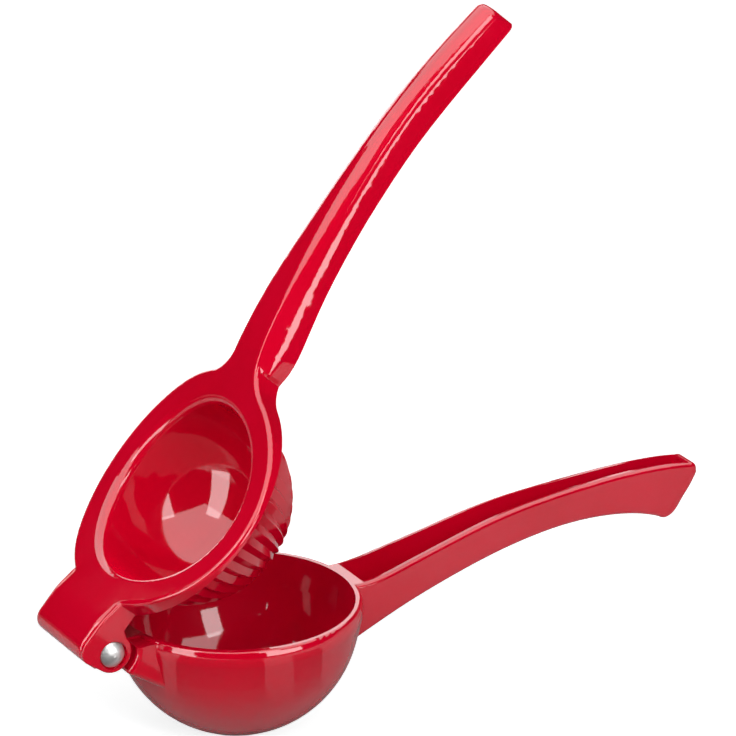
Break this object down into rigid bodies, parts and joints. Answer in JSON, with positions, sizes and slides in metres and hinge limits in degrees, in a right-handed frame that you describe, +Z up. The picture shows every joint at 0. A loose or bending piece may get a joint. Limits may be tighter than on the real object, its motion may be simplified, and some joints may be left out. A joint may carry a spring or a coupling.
{
  "type": "citrus squeezer",
  "caption": "Hinged hand press for lemons and limes: a round bowl on a channel handle, and a fluted dome on a second handle that swings over it on a rivet pin.",
  "frame": {"origin": "centre of the flat foot under the bowl, on the surface it stands on", "axes": "+Z up along the bowl's axis, +X from the hinge through the bowl to the lower handle's tip, Y along the hinge pin"},
  "size_m": [0.2129, 0.076, 0.2048],
  "materials": {
    "red_coat": "gloss",
    "pin_steel": "satin"
  },
  "bodies": {
    "lower": {"lower_arm": "red_coat"},
    "upper": {"upper_arm": "red_coat", "hinge_pin": "pin_steel"}
  },
  "joints": [
    {"name": "hinge", "type": "hinge", "parent": "lower", "child": "upper", "pos_m": [-0.04734, 0, 0.03608], "axis": [0, -1, 0], "range_deg": [-46, 70]}
  ]
}
